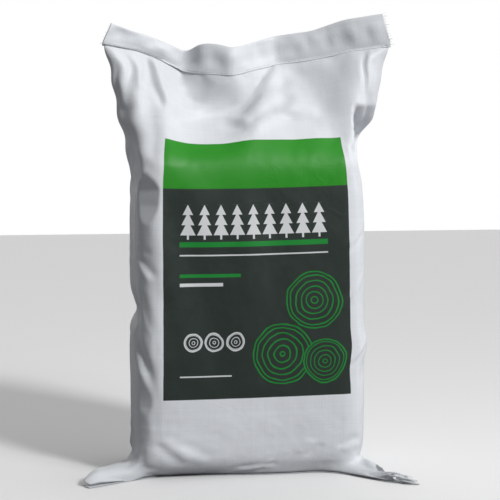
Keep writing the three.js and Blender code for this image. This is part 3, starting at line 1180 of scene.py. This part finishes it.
def arc(tree, start, middle, end):
    inputs = {"Resolution": 6, "Start": start, "Middle": middle, "End": end}
    return make(tree, "GeometryNodeCurveQuadraticBezier", inputs).outputs[0]


def circle(tree, resolution, radius):
    inputs = {"Resolution": resolution, "Radius": radius}
    return make(tree, "GeometryNodeCurvePrimitiveCircle", inputs).outputs[0]


def aimed(tree, inputs, axis, **settings):
    node = make(tree, "FunctionNodeAlignRotationToVector", inputs, axis=axis, **settings)
    return node.outputs[0]


def set_out(tree, placing, material, smooth=False):
    """Puts the shape at each of the points, as real mesh with its material."""
    made = make(tree, "GeometryNodeInstanceOnPoints", placing).outputs[0]
    made = make(tree, "GeometryNodeRealizeInstances", {"Geometry": made}).outputs[0]
    if smooth:
        made = make(tree, "GeometryNodeSetShadeSmooth", {"Geometry": made}).outputs[0]
    dressing = {"Geometry": made, "Material": material}
    made = make(tree, "GeometryNodeSetMaterial", dressing).outputs[0]
    make(tree, "NodeGroupOutput", {"Geometry": made})
    return tree


def stitch_tree(name, chained, material):
    """Stitches along a line: plain dashes of thread, or the loops of the chain on the other side."""
    tree, given, points = points_along(name, ("Stitch length", "Thread radius", "Rise"))
    half = times(given["Stitch length"], 0.5)
    if chained:
        size = xyz(tree, half, times(half, 0.34), 1.0)
        loop = {"Geometry": circle(tree, 12, 1.0), "Scale": size}
        path = make(tree, "GeometryNodeTransform", loop).outputs[0]
    else:
        start, top = xyz(tree, times(half, -1.0)), xyz(tree, z=given["Rise"])
        path = arc(tree, start, top, xyz(tree, half))
    stitch = strand(tree, path, circle(tree, 6, given["Thread radius"]))
    turned = aimed(tree, {"Vector": points["Tangent"]}, "X")
    upright = {"Rotation": turned, "Vector": points["Normal"]}
    placing = {
        "Points": points["Points"],
        "Instance": stitch,
        "Rotation": aimed(tree, upright, "Z", pivot_axis="X"),
    }
    return set_out(tree, placing, material, smooth=True)


def fringe_tree(material):
    """Loose ends of tape along a cut edge, of mixed lengths and directions."""
    sizes = ("Length", "Tape width", "Spread")
    tree, given, points = points_along("fringe", sizes, ("Direction",))
    bend = xyz(tree, times(given["Length"], 0.5), 0.0, times(given["Length"], 0.22))
    path = arc(tree, (-0.002, 0, 0), bend, xyz(tree, given["Length"]))
    section = {"Width": given["Tape width"], "Height": 0.0003}
    tape = make(tree, "GeometryNodeCurvePrimitiveQuadrilateral", section).outputs[0]
    spread = xyz(tree, 1.2, times(given["Spread"], 0.4), given["Spread"])
    less = make(tree, "ShaderNodeVectorMath", {0: spread, 3: -1.0}, operation="SCALE").outputs[0]
    limits = {"Min": less, "Max": spread, "Seed": 7}
    turn = make(tree, "FunctionNodeRandomValue", limits, data_type="FLOAT_VECTOR").outputs[0]
    turned = make(
        tree,
        "FunctionNodeRotateRotation",
        {"Rotation": aimed(tree, {"Vector": given["Direction"]}, "X"), "Rotate By": turn},
        rotation_space="LOCAL",
    )
    limits = {2: 0.3, 3: 1.0, "Seed": 12}
    size = make(tree, "FunctionNodeRandomValue", limits, data_type="FLOAT").outputs[1]
    placing = {
        "Points": points["Points"],
        "Instance": strand(tree, path, tape),
        "Rotation": turned.outputs[0],
        "Scale": xyz(tree, size, 1.0, 1.0),
    }
    return set_out(tree, placing, material)


def grown(name, line, tree, *sizes):
    """What a tree makes along a line of points, with its other inputs given in their order."""
    obj = mesh_object(name, line, [], [(k, k + 1) for k in range(len(line) - 1)])
    modifier = having(obj.modifiers.new("grown", "NODES"), node_group=tree)
    asked = [item for item in tree.interface.items_tree if item.in_out == "INPUT"]
    for item, size in zip(asked[1:], sizes):
        modifier[item.identifier] = size
    return applied(obj)


def joined(name, *objects):
    """One mesh of several, under a new name."""
    bm = bmesh.new()
    materials = []
    for obj in objects:
        bm.from_mesh(obj.data)
        materials += [m for m in obj.data.materials if m not in materials]
    mesh = bpy.data.meshes.new(name)
    bm.to_mesh(mesh)
    bm.free()
    for material in materials:
        mesh.materials.append(material)
    for obj in objects:
        bpy.data.objects.remove(obj)
    return added(name, mesh)


# Materials

def material_tree(name, roughness):
    material = bpy.data.materials.new(name)
    material.use_nodes = True
    tree = material.node_tree
    shader = tree.nodes["Principled BSDF"]
    shader.inputs["Roughness"].default_value = roughness
    return material, tree, shader


def coated(tree, shader, **channels):
    """Links what the nodes make to the shader's inputs."""
    for name, socket in channels.items():
        tree.links.new(socket, shader.inputs[name.replace("_", " ")])


def object_place(tree):
    return make(tree, "ShaderNodeTexCoord").outputs["Object"]


def ridged(where, scale, width):
    """Thin wandering lines, 1 on the line."""
    off = calc("ABSOLUTE", scaled(cloudy(where, scale, 2.0, 0.8), 2.0, -1.0))
    return ramp(off, 0.0, width * 0.2, 1.0, 0.0, "SMOOTHSTEP")


def weave(tree, u, v):
    """Height of a plain weave of flat tapes, 0 to 1, and a tone that differs from tape to tape."""
    across, up = divided(u, TAPE), divided(v, TAPE)
    column, row = calc("FLOOR", across), calc("FLOOR", up)
    over = calc("MODULO", plus(column, row), 2.0)

    def swell(value):
        edge = calc("ABSOLUTE", scaled(part(value), 2.0, -1.0))
        return minus(1.0, calc("POWER", edge, 4.0))

    def tone(place):
        return make(tree, "ShaderNodeTexWhiteNoise", {"Vector": place}).outputs[0]

    height = blend_value(over, swell(across), swell(up))
    return height, blend_value(over, tone(xyz(tree, x=column)), tone(xyz(tree, y=row)))


def log_end(u, v, x, y, radius, wobble):
    """The outline and growth rings of a log's sawn end, as line art, and the whole of its disc."""
    dx, dy = minus(u, x), minus(v, y)
    far = plus(calc("SQRT", plus(times(dx, dx), times(dy, dy))), wobble)
    rim = between(far, radius - RIM_WIDTH, radius)
    step = max(radius / RINGS_PER_RADIUS, LEAST_RING)
    rings = between(part(divided(far, step)), 0.36, 0.58, 0.04)
    lines = times(rings, under(far, radius - step * 0.5))
    return calc("MAXIMUM", rim, lines), under(far, radius)


def fir_row(u, v, left, low):
    """A row of plain fir trees, each of a few tiers of branches on a trunk."""
    spot = divided(minus(u, left), FIR_PITCH)
    off = calc("ABSOLUTE", minus(part(spot), 0.5))
    up = divided(minus(v, low), FIR_HEIGHT)
    tier = part(times(up, float(FIR_TIERS)))
    reach = scaled(tier, -0.24, scaled(up, -0.22, 0.46))
    branches = times(under(off, reach), between(up, 0, 1, 0.004))
    trunk = times(under(off, 0.06), between(up, -0.14, 0.1, 0.004))
    return times(calc("MAXIMUM", branches, trunk), between(spot, 0, FIR_COUNT, 0.004))


def printed(u, v, base, wobble):
    """The panel printed on the front: a green band on a dark field, with firs, rules and log ends."""
    left, right = PANEL_MIDDLE - PANEL_WIDTH / 2, PANEL_MIDDLE + PANEL_WIDTH / 2
    start = left + PANEL_MARGIN
    aside = divided(minus(u, PANEL_MIDDLE), PANEL_WIDTH / 2)
    belly = scaled(times(aside, aside), -PRINT_SAG, PRINT_SAG)
    v = plus(v, times(belly, ramp(v, 0.40, 0.62)))
    across = between(plus(u, times(wobble, 0.12)), left, right)
    field = times(across, between(v, PANEL_LOW, PANEL_HIGH))
    band = times(across, between(v, PANEL_HIGH - BAND_HEIGHT, PANEL_HIGH))
    ink = DARK
    for x, y, radius, colour in LOG_ENDS:
        lines, whole = log_end(u, v, right - x, PANEL_LOW + y, radius, wobble)
        ink = blend_colour(lines, blend_colour(whole, ink, DARK), colour)
    firs = fir_row(u, v, start, PANEL_HIGH - BAND_HEIGHT - FIRS_BELOW_BAND)
    ink = blend_colour(firs, ink, PRINT_WHITE)
    for low, tall, reach, colour in RULES:
        bar = between(v, PANEL_LOW + low, PANEL_LOW + low + tall)
        ink = blend_colour(times(bar, between(u, start, start + reach)), ink, colour)
    return blend_colour(field, base, blend_colour(band, ink, GREEN))


def flat_edge_highlights(u, v):
    """1 on the lines where the tube was folded when it lay flat, where a painted highlight goes."""
    waves = [times(calc("SINE", scaled(v, rate, start)), reach) for rate, start, reach in FLAT_EDGE_SWAY]
    across = minus(u, plus(*waves))
    lines = 0.0
    for middle, low, high in FLAT_EDGES:
        line = between(across, middle - 0.0011, middle + 0.0011, 0.0008)
        lines = calc("MAXIMUM", times(line, between(v, low, high, 0.02)), lines)
    return lines


def fabric_material(name, has_print):
    """White woven plastic tape under a thin glossy film, creased all over."""
    material, tree, shader = material_tree(name, 0.42)
    spot = make(tree, "ShaderNodeUVMap", uv_map="fabric").outputs[0]
    u, v, _ = make(tree, "ShaderNodeSeparateXYZ", {"Vector": spot}).outputs
    height, tone = weave(tree, u, v)
    where = object_place(tree)
    smudge = cloudy(where, 7.0, 4.0)
    shade = times(ramp(smudge, 0.35, 0.7, 1.0, 0.94), ramp(tone, 0.0, 1.0, 0.955, 1.0))
    grey = make(tree, "ShaderNodeCombineColor", {0: shade, 1: shade, 2: shade}).outputs[0]
    base = blend_colour(1.0, WHITE, grey, "MULTIPLY")
    # painted shade: the fabric is darkened within the lowest few centimetres, towards the floor, with a
    # cloudy edge
    low = make(tree, "ShaderNodeSeparateXYZ", {"Vector": where}).outputs["Z"]
    above_low_shade = ramp(scaled(smudge, 0.08, low), 0.02, 0.080)
    base = blend_colour(above_low_shade, blend_colour(1.0, base, LOW_SHADE, "MULTIPLY"), base)
    if has_print:
        # painted highlight: a lighter line along each old flat fold
        base = blend_colour(flat_edge_highlights(u, v), base, FOLD_HIGHLIGHT)
        wobble = scaled(cloudy(spot, 26.0, 2.0), 0.010, -0.005)
        base = printed(u, v, base, wobble)
    ridge = times(ridged(spot, 14.0, 0.35), between(cloudy(spot, 8.0), 0.5, 2, 0.1))
    rough = cloudy(spot, 45.0, 4.0, 0.4)
    normal = bump(ridge, RIDGE_DEPTH, 0.16, bump(rough, CRUMPLE_DEPTH, 0.4))
    normal = bump(height, WEAVE_DEPTH, 0.5, normal)
    coated(tree, shader, Base_Color=base, Normal=normal, Roughness=ramp(rough, 0.3, 0.7, 0.36, 0.50))
    shader.inputs["Specular IOR Level"].default_value = 0.35
    return material


def thread_material():
    """Twisted off-white polyester thread."""
    material, tree, shader = material_tree("sewing_thread", 0.8)
    fuzz = cloudy(object_place(tree), 900.0, 2.0)
    colour = blend_colour(fuzz, THREAD_DARK, THREAD_PALE)
    coated(tree, shader, Base_Color=colour, Normal=bump(fuzz, 0.0002, 0.6))
    return material


def wood_material():
    """Dry split hardwood, with its grain along the log."""
    material, tree, shader = material_tree("firewood", 0.8)
    where = object_place(tree)
    drawn_out = {"Vector": where, "Scale": (60.0, 60.0, 3.0)}
    grain = cloudy(make(tree, "ShaderNodeMapping", drawn_out).outputs[0], 3.0, 6.0, 0.4)
    pale = blend_colour(cloudy(where, 12.0, 3.0), WOOD_BROWN, WOOD_PALE)
    colour = blend_colour(grain, WOOD_GRAIN, pale)
    coated(tree, shader, Base_Color=colour, Normal=bump(grain, 0.0015, 0.7))
    return material


# The pieces

sack, grid = make_sack()
top_fold, top_line, back_line, top_ends, top_outward = make_top_hem(grid)
bottom_fold, bottom_line, bottom_ends, bottom_outward = make_bottom_hem()

plain_fabric = fabric_material("sack_fabric_plain", False)
printed_fabric = fabric_material("sack_fabric_printed", True)
thread = thread_material()
wood = wood_material()
dashes = stitch_tree("dashes", False, thread)
chain = stitch_tree("chain", True, thread)

sack.data.materials.append(printed_fabric)
for fold_piece in (top_fold, bottom_fold):
    fold_piece.data.materials.append(plain_fabric)

top_stitches = joined(
    "top_stitches",
    grown("front_row", top_line, dashes, *DASHES),
    grown("back_row", back_line, chain, *LOOPS),
)
bottom_stitches = grown("bottom_stitches", bottom_line, dashes, *DASHES)

frayed = fringe_tree(plain_fabric)
top_fringe = joined(
    "top_fringe",
    grown("left_fringe", top_ends[0], frayed, *TOP_LEFT_FRAY, unit(top_outward[0]).tolist()),
    grown("right_fringe", top_ends[1], frayed, *TOP_RIGHT_FRAY, unit(top_outward[1]).tolist()),
)
tip = BOTTOM_LINE[-1]
torn_end = [tip + [0, 0.001, 0.001], tip + [-0.012, 0.008, 0.008], tip + [-0.032, 0.024, 0.013]]
bottom_fringe = joined(
    "bottom_fringe",
    grown("left_fringe", bottom_ends[0], frayed, *BOTTOM_LEFT_FRAY, unit(bottom_outward[0]).tolist()),
    grown("right_fringe", bottom_ends[1], frayed, *BOTTOM_RIGHT_FRAY, (0.96, -0.28, 0.1)),
    grown("torn_fringe", torn_end, frayed, *TORN_FRAY, (0.96, -0.28, -0.08)),
)
frayed_ends = read(bottom_fringe.data.vertices, "co", 3)
frayed_ends[:, 1:] = np.maximum(frayed_ends[:, 1:], [FRAY_FRONT, FLOOR_GAP])
set_coordinates(bottom_fringe, frayed_ends)

for name in LOGS:
    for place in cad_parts[name].material_slots:
        place.material = wood

for piece, slot, node in (
    (sack, "sack_fabric", "sack_body"),
    (top_fold, "sack_fabric", "top_hem"),
    (bottom_fold, "sack_fabric", "bottom_hem"),
    (top_stitches, "sewing_thread", "top_stitching"),
    (bottom_stitches, "sewing_thread", "bottom_stitching"),
    (top_fringe, "sack_fabric", None),
    (bottom_fringe, "sack_fabric", None),
):
    piece.data.transform(Matrix.Translation(BODY))
    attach(piece, "root")
    if node:
        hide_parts(node)


# The studio

def face_towards(obj, direction):
    obj.rotation_euler = Vector(direction).to_track_quat("-Z", "Y").to_euler()


def make_floor():
    floor = flat_square("floor", FLOOR_HALF)
    material, tree, shader = material_tree("floor", 0.7)
    seen = make(tree, "ShaderNodeLightPath").outputs["Is Camera Ray"]
    coated(tree, shader, Base_Color=blend_colour(seen, FLOOR_BOUNCE, FLOOR_SEEN))
    floor.data.materials.append(material)


def make_light():
    world = bpy.data.worlds.new("studio")
    world.use_nodes = True
    tree = world.node_tree
    way = make(tree, "ShaderNodeTexCoord").outputs["Generated"]
    toward = make(tree, "ShaderNodeVectorMath", {0: way, 1: SOFT_FROM}, operation="DOT_PRODUCT")
    soft = ramp(toward.outputs["Value"], -0.6, 0.9, SHADE_LIGHT, SOFT_LIGHT)
    seen = make(tree, "ShaderNodeLightPath").outputs["Is Camera Ray"]
    background = tree.nodes["Background"].inputs
    background["Color"].default_value = (1, 1, 1, 1)
    tree.links.new(blend_value(seen, soft, BACKDROP), background["Strength"])
    bpy.context.scene.world = world
    sun = having(bpy.data.lights.new("key", "SUN"), energy=KEY_LIGHT, angle=KEY_ANGLE)
    face_towards(added("key", sun), KEY_DIRECTION)
    panel = having(bpy.data.lights.new("lamp", "AREA"), energy=LAMP_LIGHT, size=LAMP_SIZE)
    lamp = added("lamp", panel)
    lamp.location = LAMP_PLACE
    face_towards(lamp, LAMP_AIM - LAMP_PLACE)


def make_camera():
    data = having(bpy.data.cameras.new("camera"), sensor_width=SENSOR_WIDTH, lens=LENS)
    camera = added("camera", data)
    away = Vector((math.sin(CAMERA_AZIMUTH), -math.cos(CAMERA_AZIMUTH), 0))
    camera.location = BODY + away * CAMERA_DISTANCE + Vector((0, 0, CAMERA_HEIGHT))
    face_towards(camera, CAMERA_AIM - camera.location)
    bpy.context.scene.camera = camera


make_floor()
make_light()
make_camera()
bpy.context.scene.view_settings.view_transform = "Standard"
